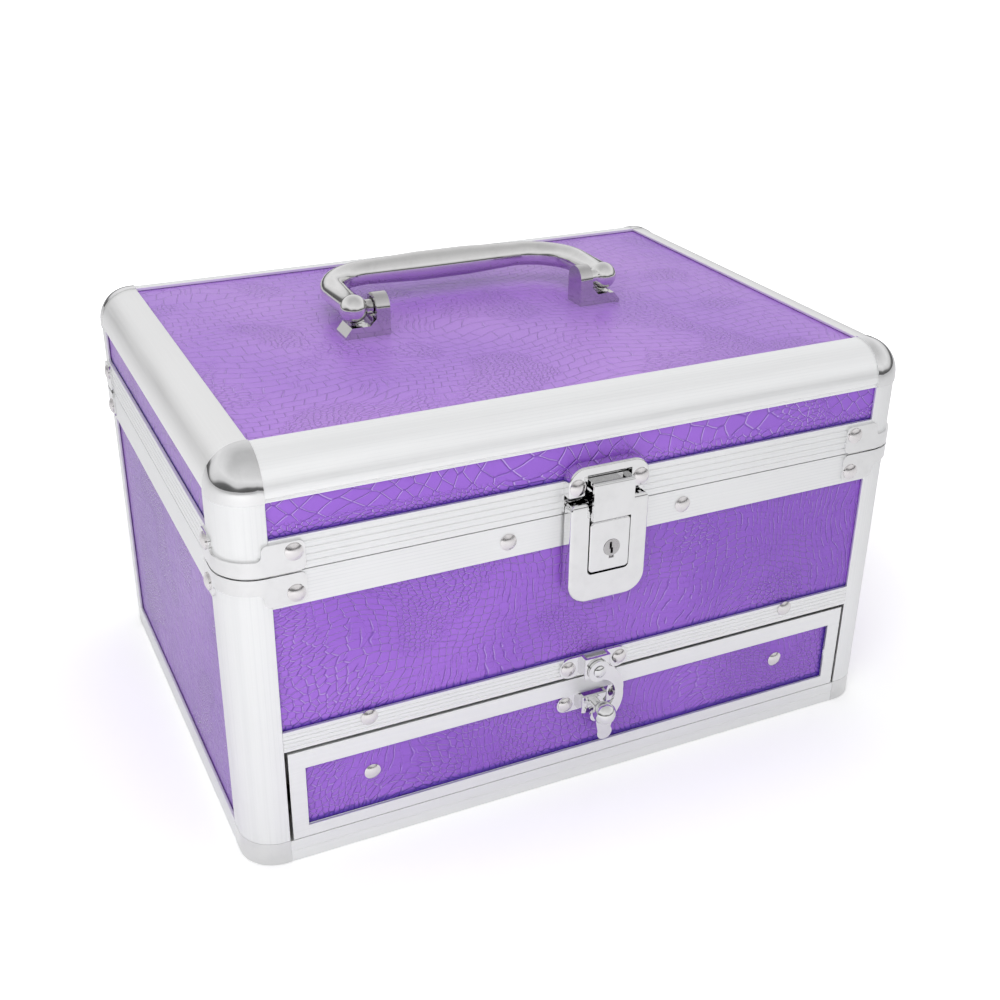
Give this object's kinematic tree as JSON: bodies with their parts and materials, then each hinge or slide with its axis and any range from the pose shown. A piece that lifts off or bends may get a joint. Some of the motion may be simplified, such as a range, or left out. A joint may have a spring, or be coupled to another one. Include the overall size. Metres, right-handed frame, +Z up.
{
  "type": "makeup case",
  "caption": "Hard makeup case with aluminium frame, hinged lid, folding handle, key draw latch and a hooked drawer.",
  "frame": {"origin": "centre of the flat underside of the case", "axes": "+Z up, +X to the right seen from the front, the front with the drawer and lock faces -Y"},
  "size_m": [0.31, 0.2467, 0.1968],
  "materials": {
    "embossed_panel": "glossy purple film with embossed scales",
    "aluminium_frame": "satin anodised",
    "chrome_fittings": "polished plate",
    "nickel_rivets": "polished nickel plate",
    "steel_hinges": "nickel plated steel",
    "black_lining": "short pile flock",
    "case_board": "fibreboard covered with black paper"
  },
  "bodies": {
    "case": {"body_panel_front": "embossed_panel", "body_panel_rear": "embossed_panel", "body_panel_left": "embossed_panel", "body_panel_right": "embossed_panel", "body_post_front_left": "aluminium_frame", "body_post_front_right": "aluminium_frame", "body_post_rear_left": "aluminium_frame", "body_post_rear_right": "aluminium_frame", "body_rim": "aluminium_frame", "header_rail": "aluminium_frame", "compartment_floor": "case_board", "body_lining": "black_lining", "base_rails": "aluminium_frame", "base_corner_caps": "chrome_fittings", "bottom_panel": "case_board", "drawer_guides": "case_board", "body_corner_clasps": "chrome_fittings", "body_rivets": "nickel_rivets", "hinge_leaves_body": "steel_hinges", "lock_base": "chrome_fittings", "lever_pivots": "chrome_fittings", "lock_housing": "chrome_fittings", "hook_bracket": "chrome_fittings", "hook_pivot": "chrome_fittings"},
    "lid": {"lid_panel_top": "embossed_panel", "lid_panel_front": "embossed_panel", "lid_panel_rear": "embossed_panel", "lid_panel_left": "embossed_panel", "lid_panel_right": "embossed_panel", "lid_edge_front": "aluminium_frame", "lid_edge_rear": "aluminium_frame", "lid_edge_left": "aluminium_frame", "lid_edge_right": "aluminium_frame", "lid_rim": "aluminium_frame", "lid_corner_posts": "aluminium_frame", "lid_ball_corners": "chrome_fittings", "lid_corner_clasps": "chrome_fittings", "lid_rivets": "nickel_rivets", "lid_lining": "black_lining", "lock_strike": "chrome_fittings", "handle_bracket_left": "chrome_fittings", "handle_bracket_right": "chrome_fittings", "handle_bolts": "chrome_fittings", "handle_pins": "chrome_fittings", "hinge_leaves_lid": "steel_hinges", "hinge_pins": "steel_hinges"},
    "handle": {"handle_grip": "chrome_fittings"},
    "lock_lever": {"lock_lever": "chrome_fittings", "claw_pin": "chrome_fittings"},
    "lock_claw": {"lock_claw": "chrome_fittings"},
    "key_plug": {"key_plug": "chrome_fittings"},
    "drawer": {"drawer_frame": "aluminium_frame", "drawer_panel": "embossed_panel", "drawer_box": "case_board", "drawer_lining": "black_lining", "drawer_rivets": "nickel_rivets", "hook_keeper": "chrome_fittings", "hook_knob": "chrome_fittings"},
    "drawer_hook": {"drawer_hook": "chrome_fittings"}
  },
  "joints": [
    {"name": "lid_hinge", "type": "hinge", "parent": "case", "child": "lid", "pos_m": [0, 0.115, 0.1335], "axis": [-1, 0, 0], "range_deg": [0, 95]},
    {"name": "handle_fold", "type": "hinge", "parent": "lid", "child": "handle", "pos_m": [0, -0.0013, 0.19], "axis": [1, 0, 0], "range_deg": [0, 180]},
    {"name": "lever_lift", "type": "hinge", "parent": "case", "child": "lock_lever", "pos_m": [0.0016, -0.1165, 0.1374], "axis": [-1, 0, 0], "range_deg": [0, 95]},
    {"name": "claw_swing", "type": "hinge", "parent": "lock_lever", "child": "lock_claw", "pos_m": [0.0016, -0.1184, 0.1336], "axis": [-1, 0, 0], "range_deg": [-115, 0]},
    {"name": "key_turn", "type": "hinge", "parent": "case", "child": "key_plug", "pos_m": [0.0025, -0.1202, 0.1183], "axis": [0, -1, 0], "range_deg": [0, 90]},
    {"name": "drawer_slide", "type": "slide", "parent": "case", "child": "drawer", "axis": [0, -1, 0], "range_m": [0, 0.15]},
    {"name": "hook_swing", "type": "hinge", "parent": "case", "child": "drawer_hook", "pos_m": [0.001, -0.1185, 0.0579], "axis": [0, -1, 0], "range_deg": [0, 110]}
  ],
  "couplings": [
    {"joint": "claw_swing", "follows": "lever_lift", "ratio": -1.2}
  ]
}
